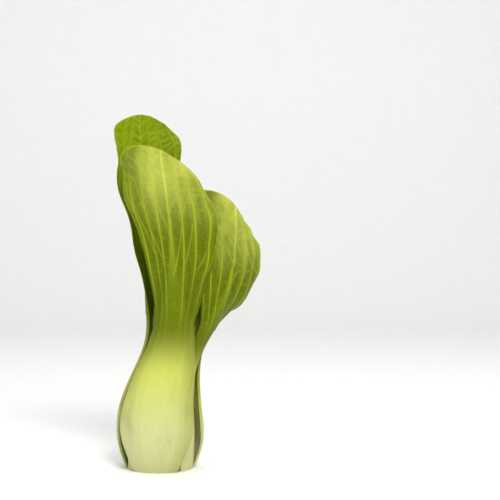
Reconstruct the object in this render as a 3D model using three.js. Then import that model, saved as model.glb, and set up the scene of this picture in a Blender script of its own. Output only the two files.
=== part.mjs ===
import * as THREE from 'three';

// One whole head of green-stemmed bok choy, standing on its trimmed butt.
// Millimetres, +Z up. The origin is the centre of the cut face, and the broad front leaf faces -Y.
//
// A short conical stem carries eleven leaves in a rising spiral: three thick outer ones, three in
// the gaps between them, three inner ones and two small heart leaves. Each leaf is one grown piece,
// a fleshy stalk that turns into a thin spoon-shaped blade with raised veins and a waved margin.

const BULB_RADIUS = 26.2; // outer face of the outer stalks where the bulb is widest
const WAIST_RADIUS = 20.4; // outer face of the outer stalks at the waist above the bulb
const LEAN = 12; // the whole head leans this far towards +X...
const LEAN_FROM = 30; // ...between this height
const LEAN_TO = 100; // ...and this one
const SKIN = 0.8; // thickness of a blade between its veins
const STALK_EDGE = 1.2; // thickness of a stalk at its two margins
const STEM_GAP = 0.6; // the stalks' feet stand this far off the stem
const CUT_BLEND = 16; // a stalk's sections turn from level at the cut to square within this length
const VEIN_HEIGHT = 0.6; // a blade's main veins stand this far out of its back
const STALK_RIB_HEIGHT = 0.25; // and their lower ends this far out of the stalk
const CROWDING = 1.3; // over 1, the columns of a leaf's mesh are closer along its midrib

// Where a leaf changes from stalk to blade, as shares of the distance from its foot to its neck
const FLESH_TURNS = [0.65, 1.15]; // the flesh moves from inside the outer face to the blade's back
const TWIST_FROM = 0.75; // the blade's turn about the midrib starts here
const OPEN_FROM = 0.8; // and here the section starts to open out

// The rib on the blade
const RIB_PEAK = 1.3; // over 1, the rib's section is steeper beside its crest
const RIB_BEHIND = 0.75; // share of the rib that stands out of the blade's back
const RIB_BEFORE = 0.1; // and out of its inner face
const RIB_END = { width: 1.1, height: 0.5 }; // half width and height that are left at the tip
const RIB_FADE = { width: 3.2, height: 2.6 }; // over 1, the rib dies out sooner

const SPREAD = { start: 0.9, round: 1.7 }; // how soon, and how roundly, a blade widens from its neck
const FLAT_SHARE = 0.35; // share of a blade, from the midrib out, that its waves leave flat

// The stem's outline, as radius and height: a disc at the cut, then a cone into the heart
const STEM_OUTLINE = [[14.6, 0], [14.4, 2], [12, 6], [9.6, 12], [7, 17], [4.4, 22], [2, 26], [0, 28]];
const STEM_SIDES = 40;

// What the leaves of one ring share. Radii are from the head's axis to the stalk's outer face.
// half: half widths along the curved section. thick: the middle of the stalk. hug: how much of
// its distance from the axis the stalk's section takes as its own radius. columns: mesh columns on
// each side of the midrib, with a vein on every second one. low, top: mesh rows below and above
// the blade's widest row. wave, waves: height and number of the waves round the margin.
const OUTER = {
  belly: BULB_RADIUS, waist: WAIST_RADIUS, half: { foot: 13, belly: 21.6, waist: 14.8, neck: 10.2 },
  thick: { foot: 4, belly: 7.1, neck: 5.1 }, hug: 0.95, wave: 1.5, waves: 7, columns: 8, low: 20, top: 8,
};
const SECOND = {
  belly: 19.8, waist: 15.3, half: { foot: 5, belly: 10.4, waist: 8.5, neck: 7.8 },
  thick: { foot: 3.2, belly: 5, neck: 3.8 }, hug: 0.68, wave: 0.9, waves: 5, columns: 6, low: 14, top: 6,
};
const INNER = {
  belly: 12, waist: 9.6, half: { foot: 4.4, belly: 7, waist: 5.8, neck: 5.2 },
  thick: { foot: 2.5, belly: 3.5, neck: 2.5 }, hug: 0.78, wave: 0.7, waves: 5, columns: 4, low: 12, top: 4,
};
const HEART = {
  belly: 5.4, waist: 4.5, half: { foot: 2.5, belly: 3.8, waist: 3.4, neck: 3 },
  thick: { foot: 1.5, belly: 2, neck: 1.6 }, hug: 0.9, wave: 0.4, waves: 4, columns: 3, low: 10, top: 4,
};

// Each leaf: turn round the axis in degrees, 0 at +X; height of its foot; the neck, where stalk
// becomes blade; the middle and the tip of its midrib, as distance out from the axis, sway to
// the side and height; half width of the blade, and where along it that is; flare, how late its left
// and right sides spread, 1 evenly and less sooner; radius of the blade's section; turn of the blade
// about its midrib; how far one side is longer; where its waves start.
const LEAVES = [
  { name: 'leaf_01_front', ...OUTER, turn: 264, foot: 0, neck: { out: 18.8, up: 88 },
    waist: 21.2, half: { foot: 13.7, belly: 27.6, waist: 24.5, neck: 12.4 },
    thick: { foot: 4, belly: 6.2, neck: 5 },
    mid: { out: 29, sway: 0 }, tip: { out: 31, sway: -7, up: 190 },
    blade: 27, wide: 0.74, flare: [1.45, 0.75], cup: 52, twist: 0, skew: -0.6, phase: 0.4 },
  { name: 'leaf_02_left', ...OUTER, turn: 150, foot: 0, neck: { out: 17, up: 92 },
    half: { foot: 13, belly: 20.3, waist: 13.5, neck: 10.2 },
    mid: { out: 25.5, sway: 0 }, tip: { out: 31.5, sway: -2, up: 213 },
    blade: 28, wide: 0.82, flare: [1.3, 1.1], cup: 56, twist: -14, skew: -0.04, phase: 2 },
  { name: 'leaf_03_right', ...OUTER, turn: 38, foot: 0, neck: { out: 18.2, up: 82 },
    waist: 20.9, mid: { out: 27, sway: 8 }, tip: { out: 30, sway: 12, up: 155 },
    blade: 27, wide: 0.58, flare: [0.9, 1.1], cup: 50, twist: 6, skew: 0.15, phase: 1 },
  { name: 'leaf_04_side', ...SECOND, turn: 334, foot: 0, neck: { out: 17.4, up: 84 },
    belly: 21, waist: 17, half: { foot: 7.6, belly: 8.6, waist: 6.8, neck: 8.2 },
    thick: { foot: 3.4, belly: 4.6, neck: 3.8 }, hug: 0.72, wave: 1.4, waves: 6, columns: 8, low: 20, top: 8,
    mid: { out: 33, sway: 7 }, tip: { out: 35.5, sway: 4, up: 157 },
    blade: 30.5, wide: 0.54, flare: [1.1, 0.52], cup: 46, twist: -30, skew: -0.95, phase: 0 },
  { name: 'leaf_05_back', ...SECOND, turn: 95, foot: 0, neck: { out: 12.8, up: 88 },
    mid: { out: 15.5, sway: 0 }, tip: { out: 17, sway: 0, up: 174 },
    blade: 18, wide: 0.58, flare: [1.1, 0.9], cup: 24, twist: 4, skew: 0.1, phase: 0.6 },
  { name: 'leaf_06_near', ...SECOND, turn: 207, foot: 0, neck: { out: 12.6, up: 86 },
    mid: { out: 14.6, sway: 0 }, tip: { out: 17, sway: -2, up: 168 },
    blade: 13, wide: 0.58, flare: [1, 1], cup: 22, twist: 0, skew: 0.1, phase: 1.4 },
  { name: 'leaf_07_inner', ...INNER, turn: 2, foot: 9, neck: { out: 9.2, up: 80 },
    belly: 13.4, waist: 10.6, mid: { out: 13, sway: 0 }, tip: { out: 15, sway: 2, up: 148 },
    blade: 14, wide: 0.56, flare: [0.9, 1.1], cup: 17, twist: 14, skew: 0.1, phase: 0.2 },
  { name: 'leaf_08_inner', ...INNER, turn: 131, foot: 10.5, neck: { out: 7.8, up: 78 },
    belly: 11.2, waist: 9.2, mid: { out: 9.2, sway: 0 }, tip: { out: 10.4, sway: -2, up: 150 },
    blade: 10.6, wide: 0.56, flare: [1, 1], cup: 12.4, twist: 6, skew: 0.1, phase: 2.2 },
  { name: 'leaf_09_inner', ...INNER, turn: 264, foot: 12, neck: { out: 8.2, up: 76 },
    mid: { out: 9.6, sway: 0 }, tip: { out: 10, sway: 0, up: 142 },
    blade: 9, wide: 0.56, flare: [1, 1], cup: 11, twist: 6, skew: 0.1, phase: 1.2 },
  { name: 'leaf_10_heart', ...HEART, turn: 62, foot: 23, neck: { out: 4.4, up: 66 },
    mid: { out: 4.8, sway: 0 }, tip: { out: 4.6, sway: 0, up: 120 },
    blade: 6.4, wide: 0.55, flare: [1, 1], cup: 8, twist: 10, skew: 0, phase: 0 },
  { name: 'leaf_11_heart', ...HEART, turn: 222, foot: 25, neck: { out: 3.4, up: 60 },
    belly: 4.6, waist: 3.9, mid: { out: 3.5, sway: 0 }, tip: { out: 3.3, sway: 0, up: 108 },
    blade: 5.4, wide: 0.55, flare: [1, 1], cup: 7, twist: 10, skew: 0, phase: 1 },
];

const between = THREE.MathUtils.smoothstep; // 0 below a range, 1 above it and smooth inside it
const mix = THREE.MathUtils.lerp;

// A uniform cubic B-spline through its end points, as a three.js curve
class BSpline extends THREE.Curve {
  constructor(points) {
    super();
    const last = points.length - 1;
    const before = points[0].clone().multiplyScalar(2).sub(points[1]);
    const after = points[last].clone().multiplyScalar(2).sub(points[last - 1]);
    this.points = [before, ...points, after];
    this.arcLengthDivisions = 400;
  }

  getPoint(t, target = new THREE.Vector3()) {
    const spans = this.points.length - 3;
    const x = THREE.MathUtils.clamp(t, 0, 1) * spans;
    const i = Math.min(Math.floor(x), spans - 1);
    const f = x - i;
    const weights = [
      (1 - f) ** 3,
      3 * f ** 3 - 6 * f ** 2 + 4,
      -3 * f ** 3 + 3 * f ** 2 + 3 * f + 1,
      f ** 3,
    ];
    target.set(0, 0, 0);
    weights.forEach((weight, k) => target.addScaledVector(this.points[i + k], weight / 6));
    return target;
  }
}

// The same spline for a plain number that changes along the stalk
function blend(values, f) {
  return new BSpline(values.map((value) => new THREE.Vector3(value))).getPoint(f).x;
}

function stemRadius(height) {
  for (let k = 1; k < STEM_OUTLINE.length; k++) {
    const [r0, z0] = STEM_OUTLINE[k - 1];
    const [r1, z1] = STEM_OUTLINE[k];
    if (height <= z1) return mix(r0, r1, (height - z0) / (z1 - z0));
  }
  return 0;
}

// The midrib's line, where x is out from the axis, y sway to the side and z height
function midrib(leaf) {
  const { foot, belly, waist, neck, mid, tip, thick } = leaf;
  const footRadius = stemRadius(foot) + STEM_GAP + STALK_EDGE + thick.foot;
  const stalk = (f, out, sway) => new THREE.Vector3(out, sway, mix(foot, neck.up, f));
  const blade = (f, out, sway) => new THREE.Vector3(out, sway, mix(neck.up, tip.up, f));
  const neckSway = mid.sway * 0.25;
  return new BSpline([
    stalk(0, footRadius, 0),
    stalk(0.06, mix(footRadius, belly, 0.5), 0),
    stalk(0.16, mix(footRadius, belly, 0.95), 0),
    stalk(0.3, belly + 0.5, 0),
    stalk(0.47, mix(belly, waist, 0.3), 0),
    stalk(0.65, waist, neckSway * 0.3),
    stalk(0.83, neck.out - 0.3, neckSway * 0.6),
    blade(0, mix(neck.out, mid.out, 0.12), neckSway),
    blade(0.25, mix(neck.out, mid.out, 0.62), mix(neckSway, mid.sway, 0.5)),
    blade(0.5, mid.out, mid.sway),
    blade(0.76, mix(mid.out, tip.out, 0.5), mix(mid.sway, tip.sway, 0.5)),
    blade(1, tip.out, tip.sway),
  ]);
}

// Distance along the midrib to the height of the neck
function lengthToHeight(curve, height) {
  const lengths = curve.getLengths();
  const last = lengths.length - 1;
  let previous = curve.getPoint(0).z;
  for (let k = 1; k <= last; k++) {
    const z = curve.getPoint(k / last).z;
    if (z >= height) return mix(lengths[k - 1], lengths[k], (height - previous) / (z - previous));
    previous = z;
  }
  return lengths[last];
}

// The leaf's two faces as functions of u, -1 to 1 from margin to margin, and v, 0 to 1 from the
// foot to the widest row of the blade and 1 to 2 from there to its round top
function leafSurface(leaf) {
  const { half, thick, cup, hug, twist, skew, wave, waves, phase, columns } = leaf;
  const curve = midrib(leaf);
  const length = curve.getLength();
  const toNeck = lengthToHeight(curve, leaf.neck.up);
  const toWidest = mix(toNeck, length, leaf.wide);
  const topLength = length - toWidest;
  const turn = THREE.MathUtils.degToRad(leaf.turn);
  const outward = new THREE.Vector3(Math.cos(turn), Math.sin(turn), 0);
  const sideways = new THREE.Vector3(-Math.sin(turn), Math.cos(turn), 0);
  const up = new THREE.Vector3(0, 0, 1);
  const place = (p) => new THREE.Vector3()
    .addScaledVector(outward, p.x).addScaledVector(sideways, p.y).addScaledVector(up, p.z);

  // Half width at a distance along the leaf, up to the widest row, on the side of hand, -1 or 1
  function halfWidth(y, hand = 1) {
    if (y < toNeck) {
      const { foot, belly, waist, neck } = half;
      const widths = [foot, mix(foot, belly, 0.75), belly + 1, (belly + waist) / 2, waist,
        mix(waist, neck, 0.7), neck];
      return blend(widths, y / toNeck);
    }
    const f = Math.min((y - toNeck) / (toWidest - toNeck), 1) ** leaf.flare[hand < 0 ? 0 : 1];
    return mix(half.neck, leaf.blade, Math.sin((Math.PI / 2) * f ** SPREAD.start) ** SPREAD.round);
  }

  // Half width and thickness of the fleshy rib, which is the whole stalk and dies out up the blade
  function rib(y) {
    if (y < toNeck) {
      const { foot, belly, neck } = thick;
      const flesh = [foot, mix(foot, belly, 0.6), belly + 0.3, belly, (belly + neck) / 2 + 0.3,
        neck, neck * 0.92];
      return { width: halfWidth(y), height: blend(flesh, y / toNeck) };
    }
    const left = 1 - Math.min((y - toNeck) / (length - toNeck), 1);
    return {
      width: half.neck * left ** RIB_FADE.width + RIB_END.width,
      height: 0.93 * thick.neck * left ** RIB_FADE.height + RIB_END.height,
    };
  }

  // Waves that grow towards the blade's margin and run round it from one side to the other
  function ripple(u, top, y) {
    const across = Math.abs(u) * Math.sqrt(1 - top ** 2 / 2);
    const above = top * Math.sqrt(1 - u ** 2 / 2);
    const quarter = (Math.PI / 4) * (leaf.blade + topLength);
    const side = toWidest - toNeck;
    const round = Math.atan2(above, across) / (Math.PI / 2);
    const along = Math.min(y, toWidest) - toNeck + quarter * round;
    const whole = 2 * (side + quarter);
    const strength = between(Math.hypot(across, above), FLAT_SHARE, 1) * between(y, toNeck, toWidest);
    const share = (u < 0 ? whole - along : along) / whole;
    return wave * strength * Math.sin(2 * Math.PI * waves * share + phase);
  }

  // Veins on every second mesh column, from the third one out to the last but one
  function vein(u, stalky) {
    const column = columns * Math.abs(u) ** (1 / CROWDING);
    if (column < 2 || columns < 4) return 0;
    const ridge = (1 + Math.cos(Math.PI * (column - 3))) / 2;
    return ridge * mix(VEIN_HEIGHT, STALK_RIB_HEIGHT, stalky);
  }

  return function faces(u, v) {
    const top = Math.max(v - 1, 0);
    const row = Math.min(v, 1) * toWidest;
    const x = u * halfWidth(row, u) * Math.sqrt(1 - top ** 2 / 2);
    const level = row + topLength * top * Math.sqrt(1 - u ** 2 / 2);
    const y = level + skew * x * between(level, toNeck, toWidest);

    // The midrib's point and its own directions: along the leaf, out of its back and sideways
    const at = THREE.MathUtils.clamp(y / length, 0, 1);
    const tangent = place(curve.getTangentAt(at));
    const middle = place(curve.getPointAt(at)).addScaledVector(tangent, Math.max(y - length, 0));
    const square = between(y, 0, CUT_BLEND);
    const back = outward.clone().addScaledVector(tangent, -tangent.dot(outward) * square).normalize();
    const across = tangent.clone().cross(back).normalize();
    const roll = THREE.MathUtils.degToRad(twist) * between(y, TWIST_FROM * toNeck, toWidest);
    back.applyAxisAngle(tangent, roll);
    across.applyAxisAngle(tangent, roll);

    // The section is an arc, tight round the head on the stalk and flatter on the blade
    const open = between(y, OPEN_FROM * toNeck, toWidest);
    const hugged = Math.max(curve.getPointAt(at).x, 3) * hug;
    const radius = 1 / mix(1 / hugged, 1 / cup, open);
    const angle = x / radius;
    const sheet = middle.clone()
      .addScaledVector(across, radius * Math.sin(angle))
      .addScaledVector(back, -radius * (1 - Math.cos(angle)));
    const normal = back.multiplyScalar(Math.cos(angle)).addScaledVector(across, Math.sin(angle));

    // On the stalk the sheet is the outer face, and the flesh is inside it. On the blade the sheet
    // is the middle of the skin, and the rib stands out of its back.
    const { width, height } = rib(y);
    const bump = Math.max(1 - (x / width) ** 2, 0) ** RIB_PEAK;
    const stalky = 1 - between(y, FLESH_TURNS[0] * toNeck, FLESH_TURNS[1] * toNeck);
    const sway = ripple(u, top, level) + vein(u, stalky);
    const outer = mix(SKIN / 2 + RIB_BEHIND * height * bump, 0, stalky) + sway;
    const inner = mix(SKIN / 2 + RIB_BEFORE * height * bump, STALK_EDGE + height * bump, stalky) - sway;
    return [outer, -inner].map((offset) => {
      const point = sheet.clone().addScaledVector(normal, offset);
      point.x += LEAN * between(point.z, LEAN_FROM, LEAN_TO);
      return point;
    });
  };
}

// A closed solid of the leaf: both faces on one grid, split alike, and a narrow rim round them
function leafGeometry(leaf) {
  const faces = leafSurface(leaf);
  const { columns, low, top } = leaf;
  const wide = 2 * columns + 1;
  const tall = low + top + 1;
  const outer = [];
  const inner = [];
  for (let i = 0; i < tall; i++) {
    for (let j = 0; j < wide; j++) {
      const c = j / columns - 1;
      const u = Math.sign(c) * Math.abs(c) ** CROWDING;
      const [front, behind] = faces(u, i <= low ? i / low : 1 + (i - low) / top);
      outer.push(front);
      inner.push(behind);
    }
  }
  const half = outer.length;
  const index = [];
  for (let i = 0; i < tall - 1; i++) {
    for (let j = 0; j < wide - 1; j++) {
      const [a, b, c, d] = [i * wide + j, i * wide + j + 1, (i + 1) * wide + j + 1, (i + 1) * wide + j];
      index.push(a, b, c, a, c, d, half + a, half + c, half + b, half + a, half + d, half + c);
    }
  }
  const rim = [];
  for (let j = 0; j < wide - 1; j++) rim.push(j);
  for (let i = 0; i < tall - 1; i++) rim.push(i * wide + wide - 1);
  for (let j = wide - 1; j > 0; j--) rim.push((tall - 1) * wide + j);
  for (let i = tall - 1; i > 0; i--) rim.push(i * wide);
  rim.forEach((p, k) => {
    const q = rim[(k + 1) % rim.length];
    index.push(p, half + p, half + q, p, half + q, q);
  });
  const geometry = new THREE.BufferGeometry().setFromPoints([...outer, ...inner]);
  geometry.setIndex(index);
  geometry.computeVertexNormals();
  return geometry;
}

// LatheGeometry turns its profile round Y, and the quarter turn stands it up on Z
function stemGeometry() {
  const profile = [[0, 0], ...STEM_OUTLINE].map(([radius, height]) => new THREE.Vector2(radius, height));
  return new THREE.LatheGeometry(profile, STEM_SIDES).rotateX(Math.PI / 2);
}

const stemMaterial = new THREE.MeshStandardMaterial({ color: 0xe4e6b8, roughness: 0.6, metalness: 0 });
const outerMaterial = new THREE.MeshStandardMaterial({ color: 0xa3b548, roughness: 0.45, metalness: 0 });
const backMaterial = new THREE.MeshStandardMaterial({ color: 0x8e9f3b, roughness: 0.45, metalness: 0 });
const innerMaterial = new THREE.MeshStandardMaterial({ color: 0xc2cd6c, roughness: 0.45, metalness: 0 });

function leafMaterial({ name }) {
  if (name.endsWith('inner') || name.endsWith('heart')) return innerMaterial;
  return name.endsWith('left') || name.endsWith('back') ? backMaterial : outerMaterial;
}

const head = new THREE.Group();
head.name = 'bok_choy_head';

const stem = new THREE.Mesh(stemGeometry(), stemMaterial);
stem.name = 'stem_base';
head.add(stem);

for (const leaf of LEAVES) {
  const mesh = new THREE.Mesh(leafGeometry(leaf), leafMaterial(leaf));
  mesh.name = leaf.name;
  head.add(mesh);
}

export default head;
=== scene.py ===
"""Looks of one whole head of green-stemmed bok choy: fine leaves and stem, soft light, a camera."""
import math
from types import SimpleNamespace

import bpy
import numpy as np
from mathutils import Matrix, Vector


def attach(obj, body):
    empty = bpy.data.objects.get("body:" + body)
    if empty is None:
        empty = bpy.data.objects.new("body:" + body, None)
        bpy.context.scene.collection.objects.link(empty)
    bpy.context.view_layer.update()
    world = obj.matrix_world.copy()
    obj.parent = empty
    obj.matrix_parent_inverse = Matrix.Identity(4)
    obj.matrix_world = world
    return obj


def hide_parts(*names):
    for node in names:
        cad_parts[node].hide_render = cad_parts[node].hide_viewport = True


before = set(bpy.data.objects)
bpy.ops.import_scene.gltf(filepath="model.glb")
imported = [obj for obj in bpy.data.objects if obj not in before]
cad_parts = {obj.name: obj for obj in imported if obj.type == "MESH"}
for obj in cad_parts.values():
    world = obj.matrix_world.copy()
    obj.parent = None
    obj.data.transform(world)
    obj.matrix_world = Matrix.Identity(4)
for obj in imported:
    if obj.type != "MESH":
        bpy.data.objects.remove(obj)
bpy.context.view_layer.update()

MM = 0.001

# The head's driving sizes in millimetres, the same as the solids have
BULB_RADIUS = 26.2  # outer face of the outer stalks where the bulb is widest
WAIST_RADIUS = 20.4  # and at the waist above the bulb
LEAN, LEAN_FROM, LEAN_TO = 12, 30, 100  # the head leans this far towards +X between these heights
STALK_EDGE = 1.2  # thickness of a stalk at its two margins
STEM_GAP = 0.6  # the stalks' feet stand this far off the stem
CUT_BLEND = 16  # a stalk's sections turn from level at the cut to square within this length
VEIN_HEIGHT = 0.6  # a blade's main veins stand this far out of its back
STALK_RIB_HEIGHT = 0.25  # and their lower ends this far out of the stalk
CROWDING = 1.3  # over 1, the columns of a leaf's mesh are closer along its midrib
LEAST_OUT = 3  # a section's radius is worked out from at least this far from the axis

# Where a leaf changes from stalk to blade, as shares of the distance from its foot to its neck
FLESH_TURNS = (0.65, 1.15)  # the flesh moves from inside the outer face to the blade's back
TWIST_FROM = 0.75  # the blade's turn about the midrib starts here
OPEN_FROM = 0.8  # and here the section starts to open out

# The rib on the blade
RIB_PEAK = 1.3  # over 1, the rib's section is steeper beside its crest
RIB_BEHIND = 0.75  # share of the rib that stands out of the blade's back
RIB_BEFORE = 0.1  # and out of its inner face
RIB_END = dict(width=1.1, height=0.5)  # half width and height that are left at the tip
RIB_FADE = dict(width=3.2, height=2.6)  # over 1, the rib dies out sooner

SPREAD = dict(start=0.9, round=1.7)  # how soon, and how roundly, a blade widens from its neck
FLAT_SHARE = 0.35  # share of a blade, from the midrib out, that its waves leave flat

# The stem's outline, as radius and height: a disc at the cut, then a cone into the heart
STEM_OUTLINE = [(14.6, 0), (14.4, 2), (12, 6), (9.6, 12), (7, 17), (4.4, 22), (2, 26), (0, 28)]

# What only the fine leaves have: a thinner skin
SKIN = 0.55  # thickness of a blade, in the middle of the solid's
MARGIN_SKIN = 0.5  # share of it that is left at the margin
MARGIN_FROM = 0.9  # the skin starts to thin at this share of the way to the margin

# Main veins, each a broad fold with a thin ridge on it
FOLD = 0.5  # share of a main vein's height that is the fold
RIDGE_POWER = 20  # the higher, the thinner the ridge
WANDER = 0.35  # how far the main veins stray, in mesh columns of the solid
WANDER_BENDS = 3.1  # their bends on the way from the foot to the blade's widest row

# Side veins, as places along v, where 1 is the blade's widest row
SIDE_VEINS_FROM = 1.32  # the lowest ones start at this share of the distance to the neck
SIDE_VEINS_TO = 1.85
FIRST_SIDE_VEIN = (0, 0.15)  # lowest and highest start above that
SIDE_VEIN_SPACING = (0.12, 0.34)
SIDE_VEIN_CLIMB = (0.08, 0.2)
SIDE_VEIN_CURVE = (1.1, 1.7)  # over 1, a side vein climbs more steeply at its end
SIDE_VEIN_REACH = (0.7, 1)  # share of the way to the next main vein
OUTWARD_SHARE = 0.85  # share of the side veins that run outwards, the others run inwards
SIDE_VEIN_POINTS = 7
SIDE_VEIN_WIDTH = 0.42  # of a side vein's coloured line
SIDE_FOLD_WIDTH = 1.3  # and of the fold that it stands on
SIDE_VEIN_HEIGHT = 0.11
SEARCH = 8  # a stretch of a side vein has no effect further than this from its start

# Puffs of skin between the veins, notches in the margin and bumps on the stalk
PUCKER = 0.85  # how far the blade puffs out
PUFFS = [dict(share=1, wide=7, long=10, seed=0), dict(share=0.5, wide=3.4, long=4.6, seed=9)]
CALM_BESIDE = 0.7  # share of the puffs that a side vein takes away
MARGIN_NOTCH = 1.1  # how far the margin goes in and out
NOTCHES = [dict(bumps=34, seed=50), dict(bumps=13, seed=51)]  # bumps of the noise round the margin
NOTCH_POWER = 6  # the higher, the less of the blade inside the margin moves with it
FULL_BLADE = 21.6  # half width of a blade with just these puffs and notches, which grow with it
STALK_BUMPS = dict(height=0.1, wide=5, long=30, seed=20)
STRAY_SEED = 70
SIDE_VEIN_SEED = 100
SEED_STEP = (61.3, 17.7)  # one leaf's patterns lie this far from the next one's, in millimetres

ARC_STEPS = 400  # the midrib's length is measured in so many steps
TANGENT_STEP = 0.001  # and its direction over this share of it, either way
SHARP_EDGE = math.radians(60)  # edges that turn more than this are shaded sharp
UV_SPAN = 250  # millimetres of the flat leaf to one unit of the UV map

# What the leaves of one ring share. Radii are from the head's axis to the stalk's outer face.
# half: half widths along the curved section at the foot, belly, waist and neck. thick: the middle of
# the stalk at the foot, belly and neck. hug: how much of its distance from the axis the stalk's
# section takes as its own radius. wave, waves: height and number of the waves round the margin.
# columns: mesh columns of the solid on each side of the midrib, with a vein on every second one.
# fine: mesh columns of the fine leaf, and its rows below and above the blade's widest row.
OUTER = dict(belly=BULB_RADIUS, waist=WAIST_RADIUS, half=(13, 21.6, 14.8, 10.2), thick=(4, 7.1, 5.1),
             hug=0.95, wave=1.5, waves=7, columns=8, fine=(56, 170, 70))
SECOND = dict(belly=19.8, waist=15.3, half=(5, 10.4, 8.5, 7.8), thick=(3.2, 5, 3.8),
              hug=0.68, wave=0.9, waves=5, columns=6, fine=(40, 130, 50))
INNER = dict(belly=12, waist=9.6, half=(4.4, 7, 5.8, 5.2), thick=(2.5, 3.5, 2.5),
             hug=0.78, wave=0.7, waves=5, columns=4, fine=(26, 100, 40))
HEART = dict(belly=5.4, waist=4.5, half=(2.5, 3.8, 3.4, 3), thick=(1.5, 2, 1.6),
             hug=0.9, wave=0.4, waves=4, columns=3, fine=(18, 80, 30))

# Each leaf: turn round the axis in degrees, 0 at +X; height of its foot; the neck, where stalk
# becomes blade, as distance out from the axis and height; the middle of its midrib, as distance out
# and sway to the side; its tip, as out, sway and height; half width of the blade, and where along it
# that is; flare, how late its left and right sides spread, 1 evenly and less sooner; radius of the
# blade's section; turn of the blade about its midrib; how far one side is longer; where its waves
# start.
LEAVES = {
    "leaf_01_front": dict(OUTER, turn=264, foot=0, neck=(18.8, 88), mid=(29, 0), tip=(31, -7, 190),
                          waist=21.2, half=(13.7, 27.6, 24.5, 12.4), thick=(4, 6.2, 5),
                          blade=27, wide=0.74, flare=(1.45, 0.75), cup=52, twist=0, skew=-0.6, phase=0.4),
    "leaf_02_left": dict(OUTER, turn=150, foot=0, neck=(17, 92), mid=(25.5, 0), tip=(31.5, -2, 213),
                         half=(13, 20.3, 13.5, 10.2),
                         blade=28, wide=0.82, flare=(1.3, 1.1), cup=56, twist=-14, skew=-0.04, phase=2),
    "leaf_03_right": dict(OUTER, turn=38, foot=0, neck=(18.2, 82), waist=20.9, mid=(27, 8), tip=(30, 12, 155),
                          blade=27, wide=0.58, flare=(0.9, 1.1), cup=50, twist=6, skew=0.15, phase=1),
    "leaf_04_side": dict(SECOND, turn=334, foot=0, neck=(17.4, 84), belly=21, waist=17,
                         half=(7.6, 8.6, 6.8, 8.2), thick=(3.4, 4.6, 3.8), hug=0.72, wave=1.4, waves=6,
                         columns=8, fine=(56, 170, 70), mid=(33, 7), tip=(35.5, 4, 157),
                         blade=30.5, wide=0.54, flare=(1.1, 0.52), cup=46, twist=-30, skew=-0.95, phase=0),
    "leaf_05_back": dict(SECOND, turn=95, foot=0, neck=(12.8, 88), mid=(15.5, 0), tip=(17, 0, 174),
                         blade=18, wide=0.58, flare=(1.1, 0.9), cup=24, twist=4, skew=0.1, phase=0.6),
    "leaf_06_near": dict(SECOND, turn=207, foot=0, neck=(12.6, 86), mid=(14.6, 0), tip=(17, -2, 168),
                         blade=13, wide=0.58, flare=(1, 1), cup=22, twist=0, skew=0.1, phase=1.4),
    "leaf_07_inner": dict(INNER, turn=2, foot=9, neck=(9.2, 80), belly=13.4, waist=10.6,
                          mid=(13, 0), tip=(15, 2, 148),
                          blade=14, wide=0.56, flare=(0.9, 1.1), cup=17, twist=14, skew=0.1, phase=0.2),
    "leaf_08_inner": dict(INNER, turn=131, foot=10.5, neck=(7.8, 78), belly=11.2, waist=9.2,
                          mid=(9.2, 0), tip=(10.4, -2, 150),
                          blade=10.6, wide=0.56, flare=(1, 1), cup=12.4, twist=6, skew=0.1, phase=2.2),
    "leaf_09_inner": dict(INNER, turn=264, foot=12, neck=(8.2, 76), mid=(9.6, 0), tip=(10, 0, 142),
                          blade=9, wide=0.56, flare=(1, 1), cup=11, twist=6, skew=0.1, phase=1.2),
    "leaf_10_heart": dict(HEART, turn=62, foot=23, neck=(4.4, 66), mid=(4.8, 0), tip=(4.6, 0, 120),
                          blade=6.4, wide=0.55, flare=(1, 1), cup=8, twist=10, skew=0, phase=0),
    "leaf_11_heart": dict(HEART, turn=222, foot=25, neck=(3.4, 60), belly=4.6, waist=3.9,
                          mid=(3.5, 0), tip=(3.3, 0, 108),
                          blade=5.4, wide=0.55, flare=(1, 1), cup=7, twist=10, skew=0, phase=1),
}


def mix(a, b, f):
    return a + (b - a) * f


def between(x, start, end):
    """0 before the start of a range, 1 past its end and smooth inside it. A range may run down."""
    f = np.clip((x - start) / (end - start), 0, 1)
    return f * f * (3 - 2 * f)


def unit(vectors):
    return vectors / np.linalg.norm(vectors, axis=-1, keepdims=True)


def spline(points, t):
    """A uniform cubic B-spline through its end points, at t from 0 to 1."""
    p = np.asarray(points, float)
    if p.ndim == 1:
        p = p[:, None]
    p = np.vstack([2 * p[0] - p[1], p, 2 * p[-1] - p[-2]])
    spans = len(p) - 3
    x = np.clip(np.asarray(t, float), 0, 1) * spans
    i = np.minimum(x.astype(int), spans - 1)
    f = (x - i)[..., None]
    weights = ((1 - f) ** 3, 3 * f**3 - 6 * f**2 + 4, -3 * f**3 + 3 * f**2 + 3 * f + 1, f**3)
    return sum(w * p[i + k] for k, w in enumerate(weights)) / 6


def noise(x, y, seed, size=64):
    """Smooth noise from -1 to 1 with bumps about one unit across."""
    table = np.random.default_rng(seed).uniform(-1, 1, (size, size))
    i, j = np.floor(x).astype(int), np.floor(y).astype(int)
    f, g = between(x - i, 0, 1), between(y - j, 0, 1)
    corner = [[table[(i + a) % size, (j + b) % size] for b in (0, 1)] for a in (0, 1)]
    return mix(mix(corner[0][0], corner[1][0], f), mix(corner[0][1], corner[1][1], f), g)


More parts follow.
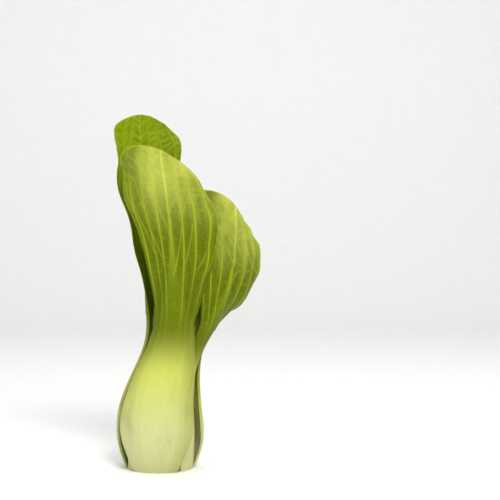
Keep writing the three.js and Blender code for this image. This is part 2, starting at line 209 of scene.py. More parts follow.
def lower_distances(nearest, x, y, line_x, line_y):
    """Lowers the distances in nearest, at the places x and y, to those from one more line."""
    for k in range(len(line_x) - 1):
        near = (np.abs(x - line_x[k]) < SEARCH) & (np.abs(y - line_y[k]) < SEARCH)
        ahead_x, ahead_y = line_x[k + 1] - line_x[k], line_y[k + 1] - line_y[k]
        dx, dy = x[near] - line_x[k], y[near] - line_y[k]
        f = np.clip((dx * ahead_x + dy * ahead_y) / (ahead_x**2 + ahead_y**2 + 1e-9), 0, 1)
        distance = np.hypot(dx - f * ahead_x, dy - f * ahead_y)
        nearest[near] = np.minimum(nearest[near], distance)


class Leaf:
    """One leaf. Places on it are u, -1 to 1 from its left to its right margin as its back is seen, and
    v, 0 to 1 from the foot to the blade's widest row and 1 to 2 from there to its round top."""

    def __init__(self, seed, spec):
        self.seed = seed
        vars(self).update(spec)
        turn = math.radians(self.turn)
        self.axes = np.array([[math.cos(turn), math.sin(turn), 0], [-math.sin(turn), math.cos(turn), 0],
                              [0, 0, 1]])
        self.knots = self.midrib()
        self.steps = np.linspace(0, 1, ARC_STEPS + 1)
        line = spline(self.knots, self.steps)
        lengths = np.linalg.norm(np.diff(line, axis=0), axis=1)
        self.arc = np.concatenate([[0], np.cumsum(lengths)])
        self.length = self.arc[-1]
        self.to_neck = float(np.interp(self.neck[1], line[:, 2], self.arc))
        self.to_widest = mix(self.to_neck, self.length, self.wide)
        self.top_length = self.length - self.to_widest
        self.size = self.blade / FULL_BLADE

    def midrib(self):
        """Points of the midrib's line: out from the head's axis, sway to the side and height."""
        neck_out, neck_up = self.neck
        mid_out, mid_sway = self.mid
        tip_out, tip_sway, tip_up = self.tip
        neck_sway = mid_sway * 0.25
        radii, heights = zip(*STEM_OUTLINE)
        foot_out = np.interp(self.foot, heights, radii) + STEM_GAP + STALK_EDGE + self.thick[0]

        def stalk(f, out, sway):
            return out, sway, mix(self.foot, neck_up, f)

        def blade(f, out, sway):
            return out, sway, mix(neck_up, tip_up, f)

        return [
            stalk(0, foot_out, 0),
            stalk(0.06, mix(foot_out, self.belly, 0.5), 0),
            stalk(0.16, mix(foot_out, self.belly, 0.95), 0),
            stalk(0.3, self.belly + 0.5, 0),
            stalk(0.47, mix(self.belly, self.waist, 0.3), 0),
            stalk(0.65, self.waist, neck_sway * 0.3),
            stalk(0.83, neck_out - 0.3, neck_sway * 0.6),
            blade(0, mix(neck_out, mid_out, 0.12), neck_sway),
            blade(0.25, mix(neck_out, mid_out, 0.62), mix(neck_sway, mid_sway, 0.5)),
            blade(0.5, mid_out, mid_sway),
            blade(0.76, mix(mid_out, tip_out, 0.5), mix(mid_sway, tip_sway, 0.5)),
            blade(1, tip_out, tip_sway),
        ]

    def half_width(self, y, hand=1):
        """Half width at a distance along the leaf, up to the widest row, on its left, where hand is
        below 0, or on its right."""
        foot, belly, waist, neck = self.half
        widths = [foot, mix(foot, belly, 0.75), belly + 1, (belly + waist) / 2, waist,
                  mix(waist, neck, 0.7), neck]
        stalk = spline(widths, y / self.to_neck)[..., 0]
        f = np.clip((y - self.to_neck) / (self.to_widest - self.to_neck), 0, 1)
        f = f ** np.where(hand < 0, *self.flare)
        blade = mix(neck, self.blade, np.sin(np.pi / 2 * f ** SPREAD["start"]) ** SPREAD["round"])
        return np.where(y < self.to_neck, stalk, blade)

    def rib(self, y):
        """Half width and thickness of the fleshy rib, which is the whole stalk and dies out up the blade."""
        foot, belly, neck = self.thick
        flesh = [foot, mix(foot, belly, 0.6), belly + 0.3, belly, (belly + neck) / 2 + 0.3, neck, neck * 0.92]
        below = y < self.to_neck
        left = 1 - np.clip((y - self.to_neck) / (self.length - self.to_neck), 0, 1)
        blade_width = self.half[3] * left ** RIB_FADE["width"] + RIB_END["width"]
        blade_height = 0.93 * neck * left ** RIB_FADE["height"] + RIB_END["height"]
        width = np.where(below, self.half_width(y), blade_width)
        height = np.where(below, spline(flesh, y / self.to_neck)[..., 0], blade_height)
        return width, height

    def flat(self, u, v):
        """Place on the leaf laid flat, x across and y along. With it level, which is y before the skew,
        and how near the margin is to the side and at the top, 1 on it."""
        top = np.clip(v - 1, 0, 1)
        row = np.clip(v, 0, 1) * self.to_widest
        across = u * np.sqrt(1 - top**2 / 2)
        above = top * np.sqrt(1 - u**2 / 2)
        x = across * self.half_width(row, u)
        level = row + self.top_length * above
        y = level + self.skew * x * between(level, self.to_neck, self.to_widest)
        return x, y, level, np.abs(across), above

    def round_margin(self, u, level, across, above):
        """Place round the blade, from 0 at the right of the neck over the top to 1 at the left of it."""
        quarter = np.pi / 4 * (self.blade + self.top_length)
        side = self.to_widest - self.to_neck
        along = np.minimum(level, self.to_widest) - self.to_neck
        along = along + quarter * np.arctan2(above, across) / (np.pi / 2)
        whole = 2 * (side + quarter)
        return np.where(u < 0, whole - along, along) / whole

    def notch(self, place):
        """How far the margin stands out at a place round it."""
        row = np.full_like(place, 0.5)
        layers = sum(noise(place * layer["bumps"], row, self.seed + layer["seed"])
                     for layer in NOTCHES)
        return MARGIN_NOTCH / len(NOTCHES) * layers * self.size

    def section(self, x, y):
        """The sheet that carries the leaf, bent about its midrib, and the way out of its back."""
        at = np.interp(y, self.arc, self.steps)
        line = spline(self.knots, at)
        ahead, behind = np.minimum(at + TANGENT_STEP, 1), np.maximum(at - TANGENT_STEP, 0)
        tangent = unit((spline(self.knots, ahead) - spline(self.knots, behind)) @ self.axes)
        middle = line @ self.axes + tangent * np.maximum(y - self.length, 0)[..., None]
        outward = self.axes[0]
        square = between(y, 0, CUT_BLEND)
        back = unit(outward - (tangent @ outward * square)[..., None] * tangent)
        right = unit(np.cross(tangent, back))
        roll = math.radians(self.twist) * between(y, TWIST_FROM * self.to_neck, self.to_widest)[..., None]
        back, right = back * np.cos(roll) + right * np.sin(roll), right * np.cos(roll) - back * np.sin(roll)

        # The section is an arc, tight round the head on the stalk and flatter on the blade
        opening = between(y, OPEN_FROM * self.to_neck, self.to_widest)
        hugged = np.maximum(line[..., 0], LEAST_OUT) * self.hug
        radius = 1 / mix(1 / hugged, 1 / self.cup, opening)[..., None]
        angle = x[..., None] / radius
        sheet = middle + right * radius * np.sin(angle) - back * radius * (1 - np.cos(angle))
        return sheet, back * np.cos(angle) + right * np.sin(angle)

    def main_vein(self, u, v):
        """1 on a main vein and 0 between them, the midrib apart, as a broad fold and a thin ridge."""
        column = self.columns * np.abs(u) ** (1 / CROWDING)
        stray = noise(v * WANDER_BENDS, np.sign(u) + column / 2, self.seed + STRAY_SEED)
        column = column + WANDER * between(column, 2, 4) * stray
        fold = (1 + np.cos(np.pi * (column - 3))) / 2
        fold = np.where((column < 2) | (self.columns < 4), 0, fold)
        return fold, fold**RIDGE_POWER

    def side_veins(self):
        """Lines of the side veins on the flat leaf, each from one main vein towards the next."""
        mains = [0] + [(k / self.columns) ** CROWDING for k in range(3, self.columns, 2)] + [1]
        draw = np.random.default_rng(self.seed + SIDE_VEIN_SEED)
        t = np.linspace(0, 1, SIDE_VEIN_POINTS)
        for hand in (-1, 1):
            for inner, outer in zip(mains, mains[1:]):
                v = SIDE_VEINS_FROM * self.to_neck / self.to_widest + draw.uniform(*FIRST_SIDE_VEIN)
                while v < SIDE_VEINS_TO:
                    climb = draw.uniform(*SIDE_VEIN_CLIMB)
                    ends = (inner, outer) if draw.random() < OUTWARD_SHARE else (outer, inner)
                    reach = draw.uniform(*SIDE_VEIN_REACH)
                    up = climb * t ** draw.uniform(*SIDE_VEIN_CURVE)
                    x, y, *_ = self.flat(hand * mix(*ends, t * reach), np.minimum(v + up, 2))
                    yield x, y
                    v += draw.uniform(*SIDE_VEIN_SPACING)

    def side_vein(self, x, y):
        """1 on a side vein and 0 away from it, as a line and as a broad band round it."""
        nearest = np.full(x.shape, np.inf)
        for line_x, line_y in self.side_veins():
            lower_distances(nearest, x, y, line_x, line_y)
        return np.exp(-((nearest / SIDE_VEIN_WIDTH) ** 2)), np.exp(-((nearest / SIDE_FOLD_WIDTH) ** 2))

    def bumps(self, x, y, wide, long, seed):
        return noise(x / wide, y / long, self.seed + seed)

    def surface(self, u, v):
        """The points of the outer and of the inner face, and what the material reads."""
        x, y, level, across, above = self.flat(u, v)
        rim = np.hypot(across, above)
        bladed = between(level, self.to_neck, self.to_widest)
        stalky = between(y, FLESH_TURNS[1] * self.to_neck, FLESH_TURNS[0] * self.to_neck)
        place = self.round_margin(u, level, across, above)
        ripple = np.sin(2 * np.pi * self.waves * place + self.phase)
        sway = self.wave * between(rim, FLAT_SHARE, 1) * bladed * ripple

        # The margin moves straight out and in, and less of the blade with it further inside
        notch = self.notch(place) * rim**NOTCH_POWER * bladed / np.maximum(rim, 0.01)
        x = x + np.sign(u) * notch * across
        y = y + notch * above

        fold, vein = self.main_vein(u, v)
        branch, beside = self.side_vein(x, y)
        flat_x, flat_y = x + SEED_STEP[0] * self.seed, y + SEED_STEP[1] * self.seed
        puff = sum(layer["share"] * self.bumps(flat_x, flat_y, layer["wide"], layer["long"], layer["seed"])
                   for layer in PUFFS)
        puff = PUCKER * self.size * puff * (1 - fold**4) * (1 - CALM_BESIDE * beside)
        relief = sway + mix(vein, fold, FOLD) * mix(VEIN_HEIGHT, STALK_RIB_HEIGHT, stalky)
        relief += bladed * (1 - stalky) * (SIDE_VEIN_HEIGHT * beside + puff)
        uneven = self.bumps(flat_x, flat_y, STALK_BUMPS["wide"], STALK_BUMPS["long"], STALK_BUMPS["seed"])
        relief += STALK_BUMPS["height"] * stalky * uneven

        # On the stalk the sheet is the outer face, and the flesh is inside it. On the blade the sheet
        # is the middle of the skin, and the rib stands out of its back.
        width, height = self.rib(y)
        bump = np.clip(1 - (x / width) ** 2, 0, 1) ** RIB_PEAK
        skin = SKIN * mix(1, MARGIN_SKIN, between(rim, MARGIN_FROM, 1)) / 2
        outer = mix(skin + RIB_BEHIND * height * bump, 0, stalky) + relief
        inner = mix(skin + RIB_BEFORE * height * bump, STALK_EDGE + height * bump, stalky) - relief
        sheet, normal = self.section(x, y)
        faces = []
        for offset in (outer, -inner):
            points = sheet + normal * offset[..., None]
            points[..., 0] += LEAN * between(points[..., 2], LEAN_FROM, LEAN_TO)
            faces.append(points)
        looks = dict(stalk=stalky, vein=vein, fold=fold, branch=branch * (1 - stalky), rim=rim * bladed,
                     rib=bump, along=y / self.length, across=u,
                     flat=np.stack([flat_x, flat_y, np.zeros_like(x)], -1))
        return faces, looks

    def mesh(self, name):
        """Both faces on one grid and a narrow rim round them, with the material's values at each point."""
        columns, low, top = self.fine
        c = np.linspace(-1, 1, 2 * columns + 1)
        v = np.concatenate([np.linspace(0, 1, low + 1), 1 + np.linspace(0, 1, top + 1)[1:]])
        u, v = np.meshgrid(np.sign(c) * np.abs(c) ** CROWDING, v)
        faces, looks = self.surface(u, v)
        points = np.concatenate([face.reshape(-1, 3) for face in faces]) * MM
        mesh = bpy.data.meshes.new(name)
        mesh.from_pydata(points.tolist(), [], closed_sheet(*u.shape).tolist())
        for key, value in looks.items():
            store(mesh, key, np.concatenate([value.reshape(u.size, -1)] * 2))
        store(mesh, "inside", np.repeat([[0.0], [1.0]], u.size, axis=0))
        lay_flat(mesh, np.concatenate([looks["flat"].reshape(-1, 3)[:, :2]] * 2) / UV_SPAN)
        mesh.polygons.foreach_set("use_smooth", [True] * len(mesh.polygons))
        mesh.set_sharp_from_angle(angle=SHARP_EDGE)
        mesh.validate()
        return mesh


def closed_sheet(rows, wide):
    """Quads of two like grids, the second one facing the other way, and of the rim between them."""
    half = rows * wide
    number = np.arange(half).reshape(rows, wide)
    a, b, c, d = number[:-1, :-1], number[:-1, 1:], number[1:, 1:], number[1:, :-1]
    front = np.stack([a, b, c, d], -1).reshape(-1, 4)
    behind = half + np.stack([a, d, c, b], -1).reshape(-1, 4)
    loop = np.concatenate([number[0, :-1], number[:-1, -1], number[-1, :0:-1], number[:0:-1, 0]])
    after = np.roll(loop, -1)
    rim = np.stack([loop, half + loop, half + after, after], -1)
    return np.concatenate([front, behind, rim])


def store(mesh, key, values):
    """Keeps a number or a place at each point of a mesh, for the material to read."""
    kind, field = ("FLOAT", "value") if values.shape[1] == 1 else ("FLOAT_VECTOR", "vector")
    layer = mesh.attributes.new(key, kind, "POINT")
    layer.data.foreach_set(field, values.astype(np.float32).ravel())


def lay_flat(mesh, places):
    """A UV map from the place of each point."""
    uv = mesh.uv_layers.new(name="flat_uv")
    corner = np.empty(len(mesh.loops), np.int32)
    mesh.loops.foreach_get("vertex_index", corner)
    uv.data.foreach_set("uv", places[corner].astype(np.float32).ravel())


def stem_mesh(name, sides=128, disc_rings=10, wall_rings=4, uneven=0.012, lobes=5, drift=0.3, sharp=50):
    """The stem turned round its axis, a little uneven, with a close set of rings on the cut face."""
    profile = [(STEM_OUTLINE[0][0] * k / disc_rings, 0) for k in range(1, disc_rings)]
    for (r0, z0), (r1, z1) in zip(STEM_OUTLINE, STEM_OUTLINE[1:]):
        steps = [k / wall_rings for k in range(wall_rings)]
        profile += [(mix(r0, r1, f), mix(z0, z1, f)) for f in steps]
    angle = np.linspace(0, 2 * np.pi, sides, endpoint=False)
    points = [(0, 0, 0)]
    for radius, height in profile:
        radii = radius * (1 + uneven * np.sin(lobes * angle + drift * height))
        points += [(r * math.cos(a) * MM, r * math.sin(a) * MM, height * MM) for r, a in zip(radii, angle)]
    points.append((0, 0, STEM_OUTLINE[-1][1] * MM))

    after = [(k + 1) % sides for k in range(sides)]
    faces = [(0, 1 + after[k], 1 + k) for k in range(sides)]
    for ring in range(len(profile) - 1):
        base = 1 + ring * sides
        above = base + sides
        faces += [(base + k, base + after[k], above + after[k], above + k) for k in range(sides)]
    base = 1 + (len(profile) - 1) * sides
    faces += [(base + k, base + after[k], len(points) - 1) for k in range(sides)]
    mesh = bpy.data.meshes.new(name)
    mesh.from_pydata(points, [], faces)
    mesh.polygons.foreach_set("use_smooth", [True] * len(mesh.polygons))
    mesh.set_sharp_from_angle(angle=math.radians(sharp))
    return mesh


class Graph:
    """A node material, written as short expressions."""

    def __init__(self, name):
        self.material = bpy.data.materials.new(name)
        self.material.use_nodes = True
        self.nodes = self.material.node_tree.nodes
        self.links = self.material.node_tree.links
        self.nodes.clear()

    def feed(self, socket, value):
        if isinstance(value, bpy.types.NodeSocket):
            self.links.new(value, socket)
        elif socket.type == "RGBA":
            socket.default_value = (*value, 1)
        else:
            socket.default_value = value

    def make(self, kind, settings, inputs, output=0):
        """A node with its settings and its inputs, by name or number, and one of its outputs."""
        node = self.nodes.new(kind)
        for key, value in settings.items():
            setattr(node, key, value)
        for key, value in inputs.items():
            self.feed(node.inputs[key], value)
        return node.outputs[output]

    def attribute(self, name, output="Fac"):
        return self.make("ShaderNodeAttribute", dict(attribute_name=name), {}, output)

    def math(self, operation, a, b=0.0):
        return self.make("ShaderNodeMath", dict(operation=operation), {0: a, 1: b})

    def times(self, a, b):
        return self.math("MULTIPLY", a, b)

    def plus(self, a, b):
        return self.math("ADD", a, b)

    def larger(self, a, b):
        return self.math("MAXIMUM", a, b)

    def rest(self, a):
        """What a share leaves of the whole."""
        return self.math("SUBTRACT", 1.0, a)

    def vector(self, operation, a, b=(0, 0, 0), output=0):
        return self.make("ShaderNodeVectorMath", dict(operation=operation), {0: a, 1: b}, output)

    def span(self, value, low, high, to_low=0.0, to_high=1.0):
        """A smooth ramp over a range of the value."""
        inputs = {"Value": value, "From Min": low, "From Max": high, "To Min": to_low, "To Max": to_high}
        return self.make("ShaderNodeMapRange", dict(interpolation_type="SMOOTHSTEP"), inputs)

    def mix(self, factor, a, b):
        return self.make("ShaderNodeMix", dict(data_type="RGBA"), {0: factor, 6: a, 7: b}, 2)

    def object_place(self):
        return self.make("ShaderNodeTexCoord", {}, {}, "Object")

    def noise(self, vector, scale=1.0, detail=3.0, output=0):
        inputs = {"Vector": vector, "Scale": scale, "Detail": detail}
        return self.make("ShaderNodeTexNoise", {}, inputs, output)

    def spots(self, vector, scale):
        """Distance to the nearest of many scattered points."""
        return self.make("ShaderNodeTexVoronoi", {}, {"Vector": vector, "Scale": scale}, "Distance")

    def cells(self, vector, scale):
        """Distance to the walls of a net of cells."""
        settings = dict(feature="DISTANCE_TO_EDGE")
        return self.make("ShaderNodeTexVoronoi", settings, {"Vector": vector, "Scale": scale}, "Distance")

    def bump(self, height, distance, strength):
        inputs = {"Height": height, "Distance": distance, "Strength": strength}
        return self.make("ShaderNodeBump", {}, inputs)

    def principled(self, colour, roughness, **inputs):
        """The main shader, whose other inputs are written with _ for a space."""
        named = {key.replace("_", " "): value for key, value in inputs.items()}
        named |= {"Base Color": colour, "Roughness": roughness}
        return self.make("ShaderNodeBsdfPrincipled", {}, named)

    def finish(self, shader):
        output = self.nodes.new("ShaderNodeOutputMaterial")
        self.links.new(shader, output.inputs["Surface"])
        return self.material


# Linear colours of the leaves, from the foot to the tip. GLOW is the light that comes through a blade.
CREAM = (0.50, 0.515, 0.24)
STALK = (0.475, 0.505, 0.09)
NECK = (0.098, 0.110, 0.0005)
VEIN = (0.44, 0.52, 0.025)
GLOW = (0.50, 0.60, 0.004)
SCAR = (0.16, 0.09, 0.02)
# Each look's tip colour is partly the blade's own paler tone and partly painted light on the lit top; its
# inner colour is also used as painted shade on the outer face
LOOKS = {
    "front_leaf": SimpleNamespace(stalk=STALK, neck=NECK, blade=(0.130, 0.170, 0.0003),
                                  tip=(0.58, 0.63, 0.12), inner=(0.06, 0.10, 0.0005)),
    "back_leaf": SimpleNamespace(stalk=STALK, neck=NECK, blade=(0.12, 0.165, 0.0005),
                                 tip=(0.27, 0.34, 0.003), inner=(0.20, 0.30, 0.002)),
    "young_leaf": SimpleNamespace(stalk=(0.58, 0.64, 0.10), neck=(0.36, 0.43, 0.015),
                                  blade=(0.28, 0.36, 0.006), tip=(0.38, 0.46, 0.02),
                                  inner=(0.22, 0.31, 0.004)),
}

# Patterns on the flat leaf, across and along it, in waves per millimetre
BLOTCHES = (0.05, 0.03, 1)
FIBRES = (0.9, 0.012, 1)
GRAIN = (0.5, 0.5, 1)
NET = (0.24, 0.19, 1)
FINE_NET = 2.6  # cells of the fine net to one of the coarse one
NET_BENDS = 0.22  # of the net's walls, to a millimetre
NET_BEND_SIZE = (0.9, 0.9, 0)  # in cells
SCARS = 0.055  # small brown specks, to a millimetre either way

# Ramps of the leaf's colours: a range of what each follows and, where they aren't 0 and 1, its
# strengths at the two ends. A place along a leaf is a share of its length.
STALK_ALONG = (0.08, 0.34)  # cream turns to the stalk's colour
NECK_ALONG = (0.3, 0.5)  # and that to the neck's
EDGE_BY_RIB = (0.1, 0.8, 0.32, 0)  # a stalk is greener away from its rib
EDGE_ALONG = (0.12, 0.34)
RIGHT_ACROSS = (0.35, 0.95, 0, 0.6)  # and on its right side, with this share of the neck's colour
RIGHT_NECK_SHARE = 0.45
THREADS = (0.42, 0.66, 0, 0.25)  # pale fibres
THREADS_ALONG = (0.48, 0.2)
STALK_BLOTCH = (0.5, 0.75, 0, 0.25)
# The tip's colour takes over here: partly the blade's own paler tone, partly painted light on the lit top
PALE_AND_LIT_TIP_ALONG = (0.7, 0.98)
BLADE_BLOTCH = (0.35, 0.7, 0, 0.4)
INNER_SHARE = 0.75  # of the inner side's colour on that side
BLADE_GRAIN = (0.35, 0.7, 0, 0.16)
GROOVE_SHADE_BY_FOLD = (0, 0.7, 0.3, 0)  # painted shade: a blade has some of that colour in the grooves between its main veins
GROOVE_SHADE_ALONG = (0.98, 0.78, 0.3, 1)
SHADED_LEFT_ACROSS = (-0.3, -0.8, 0, 0.8)  # and this share of it on its left side, as painted shade
SHADED_LEFT_INNER_SHARE = 0.3
NET_LINE, NET_SHARE = (0, 0.09, 1, 0), 0.18  # by the distance to a cell's wall
FINE_NET_LINE, FINE_NET_SHARE = (0, 0.12, 1, 0), 0.09
SIDE_VEIN_SHARE = 0.45
SMALL_VEINS_ALONG = (0.5, 0.68, 0.25, 1)
MAIN_VEIN_ALONG = (0.46, 0.68, 0.1, 0.7)
MAIN_VEIN_TO_TIP = (0.98, 0.8, 0.45, 1)
MIDRIB_LINE = (0.5, 1, 0, 0.3)
MIDRIB_ALONG = (0.55, 0.75)
MARGIN_LINE = (0.975, 1, 0, 0.6)
SCAR_SPOT = (0.012, 0.03, 0.55, 0)
ROUGHNESS = dict(blade=0.36, stalk=0.34, grain=0.12)
GLOW_BY_RIB = (0.8, 0, 0, 0.24)  # more light comes through away from the rib
GLOW_TINT = 0.25  # share of GLOW in the colour of that light
SINK = dict(veins=-0.35, grain=0.25)  # small veins lie in the skin, and its grain stands out
LEAF_BUMP = dict(distance=0.0006, strength=0.55)
LEAF_SHADER = dict(IOR=1.42, Specular_IOR_Level=0.1, Subsurface_Weight=0.3,
                   Subsurface_Radius=(1.0, 0.9, 0.12), Subsurface_Scale=0.0022)


def leaf_traits(g):
    """What the leaf's mesh and some plain noise say about a place on the leaf."""
    names = ("along", "across", "stalk", "rib", "fold", "vein", "branch", "rim", "inside")
    traits = SimpleNamespace(**{name: g.attribute(name) for name in names})
    traits.flat = g.attribute("flat", "Vector")
    traits.blotch = g.noise(g.vector("MULTIPLY", traits.flat, BLOTCHES), detail=4.0)
    traits.fibre = g.noise(g.vector("MULTIPLY", traits.flat, FIBRES), detail=3.0)
    traits.grain = g.noise(g.vector("MULTIPLY", traits.flat, GRAIN), detail=5.0)
    return traits


def stalk_colour(g, leaf, look):
    """Cream at the foot, greener up the stalk and towards its sides, with long pale fibres."""
    colour = g.mix(g.span(leaf.along, *STALK_ALONG), CREAM, look.stalk)
    colour = g.mix(g.span(leaf.along, *NECK_ALONG), colour, look.neck)
    edges = g.times(g.span(leaf.rib, *EDGE_BY_RIB), g.span(leaf.along, *EDGE_ALONG))
    colour = g.mix(edges, colour, look.neck)
    right = tuple(mix(a, b, RIGHT_NECK_SHARE) for a, b in zip(look.stalk, look.neck))
    colour = g.mix(g.span(leaf.across, *RIGHT_ACROSS), colour, right)
    threads = g.times(g.span(leaf.fibre, *THREADS), g.span(leaf.along, *THREADS_ALONG))
    colour = g.mix(threads, colour, CREAM)
    return g.mix(g.span(leaf.blotch, *STALK_BLOTCH), colour, look.neck)


def vein_lines(g, leaf):
    """How much of the veins' pale colour shows: a net, the side veins, the main veins and the midrib."""
    bends = g.noise(leaf.flat, NET_BENDS, detail=2.0, output=1)
    bent = g.vector("ADD", g.vector("MULTIPLY", leaf.flat, NET), g.vector("MULTIPLY", bends, NET_BEND_SIZE))
    net = g.times(g.span(g.cells(bent, 1.0), *NET_LINE), NET_SHARE)
    fine_net = g.times(g.span(g.cells(bent, FINE_NET), *FINE_NET_LINE), FINE_NET_SHARE)
    small = g.larger(g.larger(net, fine_net), g.times(leaf.branch, SIDE_VEIN_SHARE))
    small = g.times(small, g.span(leaf.along, *SMALL_VEINS_ALONG))
    strength = g.times(g.span(leaf.along, *MAIN_VEIN_ALONG), g.span(leaf.along, *MAIN_VEIN_TO_TIP))
    main = g.times(leaf.vein, strength)
    midrib = g.times(g.span(leaf.rib, *MIDRIB_LINE), g.span(leaf.along, *MIDRIB_ALONG))
    return g.larger(g.larger(small, main), midrib)


def blade_colour(g, leaf, look, lines):
    """Mottled green, paler towards the tip, partly its own paler colour and partly painted light on the lit
    top, and paler along the veins. The inner side's colour lies on that side and is also painted shade in
    each groove between the main veins and on the blade's left side."""
    # Paler towards the tip: partly the leaf's own colour, partly painted light on the lit top
    colour = g.mix(g.span(leaf.along, *PALE_AND_LIT_TIP_ALONG), look.blade, look.tip)
    colour = g.mix(g.span(leaf.blotch, *BLADE_BLOTCH), colour, look.blade)
    colour = g.mix(g.times(leaf.inside, INNER_SHARE), colour, look.inner)
    colour = g.mix(g.span(leaf.grain, *BLADE_GRAIN), colour, look.inner)
    # Painted shade: the inner side's colour in the grooves between the main veins
    groove_shade = g.times(g.span(leaf.fold, *GROOVE_SHADE_BY_FOLD), g.span(leaf.along, *GROOVE_SHADE_ALONG))
    colour = g.mix(groove_shade, colour, look.inner)
    # Painted shade: the blade's left side turns towards the inner side's colour
    left = tuple(mix(a, b, SHADED_LEFT_INNER_SHARE) for a, b in zip(look.blade, look.inner))
    colour = g.mix(g.span(leaf.across, *SHADED_LEFT_ACROSS), colour, left)
    colour = g.mix(lines, colour, VEIN)
    return g.mix(g.span(leaf.rim, *MARGIN_LINE), colour, VEIN)


def leaf_material(name):
    """One leaf from its cream foot to its green blade, which lets some light through."""
    look = LOOKS[name]
    g = Graph(name)
    leaf = leaf_traits(g)
    lines = vein_lines(g, leaf)
    colour = g.mix(leaf.stalk, blade_colour(g, leaf, look, lines), stalk_colour(g, leaf, look))
    colour = g.mix(g.span(g.spots(leaf.flat, SCARS), *SCAR_SPOT), colour, SCAR)

    skin = g.plus(g.times(lines, SINK["veins"]), g.times(leaf.grain, SINK["grain"]))
    relief = g.plus(g.times(leaf.fibre, leaf.stalk), g.times(skin, g.rest(leaf.stalk)))
    normal = g.bump(relief, **LEAF_BUMP)
    rough = g.span(leaf.stalk, 0, 1, ROUGHNESS["blade"], ROUGHNESS["stalk"])
    rough = g.plus(rough, g.times(leaf.grain, ROUGHNESS["grain"]))
    surface = g.principled(colour, rough, Normal=normal, **LEAF_SHADER)
    tinted = g.mix(GLOW_TINT, colour, GLOW)
    through = g.make("ShaderNodeBsdfTranslucent", {}, {"Color": tinted, "Normal": normal})
    share = g.times(g.rest(leaf.stalk), g.span(leaf.rib, *GLOW_BY_RIB))
    return g.finish(g.make("ShaderNodeMixShader", {}, {0: share, 1: surface, 2: through}))


# The stem's flesh, in linear colours. Rings and the dry rim go by the radius in millimetres.
FLESH, FLESH_RING = (0.78, 0.78, 0.5), (0.6, 0.63, 0.3)
PORE, DRY_CUT = (0.5, 0.45, 0.22), (0.5, 0.36, 0.16)
RING_TURNS = 1.7  # radians of the rings' wave to a millimetre
RING_WOBBLE, WOBBLES_PER_METRE = 5.0, 260.0
RING_SHADE = (-1, 1, 0, 0.35)
PORES_PER_METRE = 900.0
PORE_SHADE = (0, 0.25, 0.3, 0)
DRY_RIM = (12, 14.5, 0, 0.55)
STEM_BUMP = dict(distance=0.0006, strength=0.5)
STEM_SHADER = dict(Subsurface_Weight=0.3, Subsurface_Radius=(1.0, 0.9, 0.5), Subsurface_Scale=0.002)


def stem_material():
    """Moist pale flesh with rings and pores, browner at the rim of the cut."""
    g = Graph("stem_flesh")
    place = g.object_place()
    radius = g.vector("LENGTH", g.vector("MULTIPLY", place, (1 / MM, 1 / MM, 0)), output="Value")
    wobble = g.times(g.noise(place, WOBBLES_PER_METRE), RING_WOBBLE)
    rings = g.math("SINE", g.plus(g.times(radius, RING_TURNS), wobble))
    pores = g.cells(place, PORES_PER_METRE)
    colour = g.mix(g.span(rings, *RING_SHADE), FLESH, FLESH_RING)
    colour = g.mix(g.span(pores, *PORE_SHADE), colour, PORE)
    colour = g.mix(g.span(radius, *DRY_RIM), colour, DRY_CUT)
    return g.finish(g.principled(colour, 0.55, Normal=g.bump(pores, **STEM_BUMP), **STEM_SHADER))


# The floor's two pale greys
PAPER = ((0.86, 0.86, 0.85), (0.9, 0.9, 0.89))
PAPER_GRAINS_PER_METRE = 90.0


def paper_material():
    g = Graph("pale_paper")
    colour = g.mix(g.noise(g.object_place(), PAPER_GRAINS_PER_METRE, detail=4.0), *PAPER)
    return g.finish(g.principled(colour, 0.8))


def stage_mesh(name, half=2.2, bend_at=0.9, bend=0.35, rise=1.8, steps=16):
    """A floor that curves up into a backdrop, in metres."""
    profile = [(-half, 0), (bend_at, 0)]
    for k in range(1, steps + 1):
        a = math.pi / 2 * k / steps
        profile.append((bend_at + bend * math.sin(a), bend * (1 - math.cos(a))))
    profile.append((bend_at + bend, rise))
    points = [(x, y, z) for y, z in profile for x in (-half, half)]
    faces = [(2 * k, 2 * k + 1, 2 * k + 3, 2 * k + 2) for k in range(len(profile) - 1)]
    mesh = bpy.data.meshes.new(name)
    mesh.from_pydata(points, [], faces)
    mesh.polygons.foreach_set("use_smooth", [True] * len(faces))
    return mesh


def put(name, data):
    """A new object of the scene."""
    thing = bpy.data.objects.new(name, data)
    bpy.context.scene.collection.objects.link(thing)
    return thing


def add(mesh, material, node):
    """A piece of the head in the place of a solid."""
    piece = put(mesh.name, mesh)
    mesh.materials.append(material)
    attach(piece, "root")
    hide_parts(node)


def aim(thing, place, target):
    """Puts a light or a camera at a place and turns it to a target."""
    thing.location = place
    thing.rotation_euler = (Vector(target) - Vector(place)).to_track_quat("-Z", "Y").to_euler()


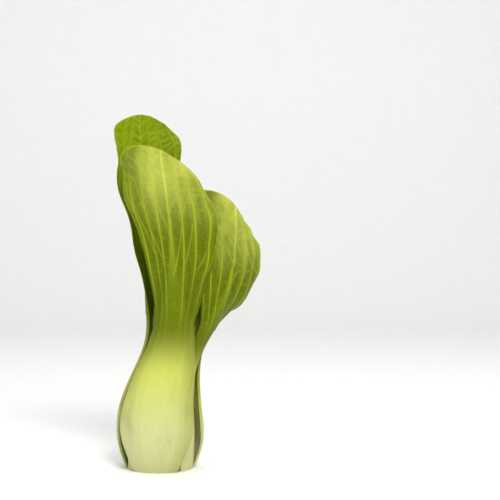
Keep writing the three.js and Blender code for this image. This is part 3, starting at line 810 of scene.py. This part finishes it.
# The head
materials = {name: leaf_material(name) for name in LOOKS}
add(stem_mesh("stem_base_fine"), stem_material(), "stem_base")
for leaf_seed, (node_name, leaf_spec) in enumerate(LEAVES.items(), start=1):
    young = node_name.endswith(("inner", "heart"))
    behind = node_name.endswith(("left", "back"))
    leaf_look = "young_leaf" if young else "back_leaf" if behind else "front_leaf"
    fine_leaf = Leaf(leaf_seed, leaf_spec).mesh(node_name + "_fine")
    add(fine_leaf, materials[leaf_look], node_name)

# The floor and backdrop
stage = put("stage_floor", stage_mesh("stage_floor"))
stage.data.materials.append(paper_material())

# Square soft lights: place and side in metres, power in watts and colour
HEAD_MIDDLE = (0.01, 0, 0.11)
LIGHTS = {
    "key": ((0.35, -0.95, 0.95), 0.5, 16, (1.0, 0.985, 0.95)),
    "fill": ((-0.9, -0.7, 0.5), 0.9, 4.5, (0.99, 1.0, 1.0)),
    "top": ((0.1, 0.25, 1.2), 0.7, 5, (1.0, 1.0, 0.98)),
}
for light_name, (light_place, side, power, light_colour) in LIGHTS.items():
    lamp = bpy.data.lights.new(light_name, "AREA")
    lamp.shape, lamp.size, lamp.energy, lamp.color = "SQUARE", side, power, light_colour
    aim(put(light_name, lamp), light_place, HEAD_MIDDLE)

# Even light from all round
SKY_COLOUR, SKY_STRENGTH = (0.95, 0.97, 1.0, 1), 0.43
world = bpy.data.worlds.new("studio")
world.use_nodes = True
background = world.node_tree.nodes["Background"]
background.inputs["Color"].default_value = SKY_COLOUR
background.inputs["Strength"].default_value = SKY_STRENGTH
bpy.context.scene.world = world
bpy.context.scene.view_settings.view_transform = "Standard"

# The camera keeps the photograph's frame, with the head left of its middle
FRAME_WIDTH = 0.300
FRAME_MIDDLE = Vector((0.054, 0, 0.131))
ELEVATION = math.radians(2)
LENS, SENSOR = 100, 36
camera_data = bpy.data.cameras.new("camera")
camera_data.lens, camera_data.sensor_width = LENS, SENSOR
camera_distance = FRAME_WIDTH * LENS / SENSOR
towards_camera = Vector((0, -math.cos(ELEVATION), math.sin(ELEVATION)))
camera = put("camera", camera_data)
aim(camera, FRAME_MIDDLE + camera_distance * towards_camera, FRAME_MIDDLE)
bpy.context.scene.camera = camera
